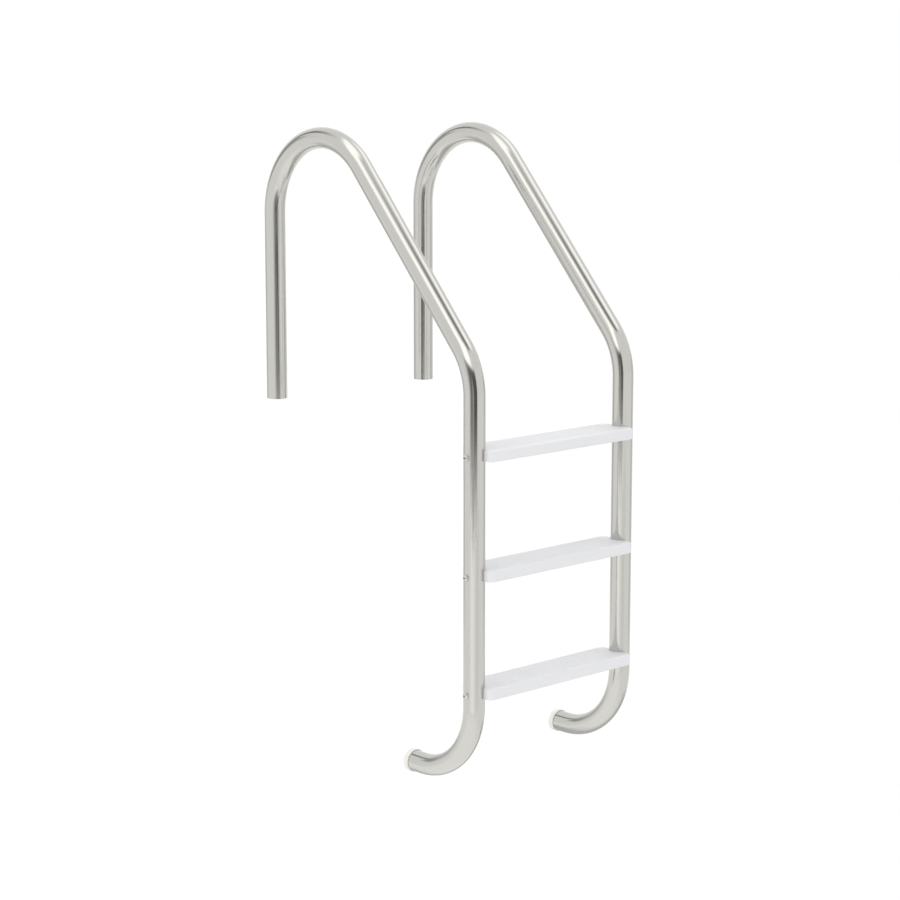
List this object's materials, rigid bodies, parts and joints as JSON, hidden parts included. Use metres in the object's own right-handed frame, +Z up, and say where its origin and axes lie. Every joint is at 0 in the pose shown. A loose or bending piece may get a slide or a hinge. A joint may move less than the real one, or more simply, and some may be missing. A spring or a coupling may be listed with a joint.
{
  "type": "pool ladder",
  "caption": "In-ground pool ladder: two bent stainless tube rails with hooked handrails, white moulded treads bolted between them and bumpers on the feet.",
  "frame": {"origin": "on the deck's surface, midway between the two anchor legs", "axes": "+Z up, +Y from the pool towards the deck, +X to the right of a bather climbing out"},
  "size_m": [0.5252, 0.7491, 1.4431],
  "materials": {
    "stainless_tube": "polished",
    "white_tread_plastic": "satin, fine moulded grain",
    "white_vinyl": "matt",
    "stainless_fastener": "machined",
    "nylon": "matt"
  },
  "bodies": {
    "root": {"left_rail": "stainless_tube", "left_bumper": "white_vinyl", "right_rail": "stainless_tube", "right_bumper": "white_vinyl", "top_tread": "white_tread_plastic", "top_tread_bolts": "stainless_fastener", "top_saddle_washers": "stainless_fastener", "top_flat_washers": "stainless_fastener", "top_lock_nuts": "stainless_fastener", "top_nylon_rings": "nylon", "middle_tread": "white_tread_plastic", "middle_tread_bolts": "stainless_fastener", "middle_saddle_washers": "stainless_fastener", "middle_flat_washers": "stainless_fastener", "middle_lock_nuts": "stainless_fastener", "middle_nylon_rings": "nylon", "bottom_tread": "white_tread_plastic", "bottom_tread_bolts": "stainless_fastener", "bottom_saddle_washers": "stainless_fastener", "bottom_flat_washers": "stainless_fastener", "bottom_lock_nuts": "stainless_fastener", "bottom_nylon_rings": "nylon"}
  },
  "joints": []
}
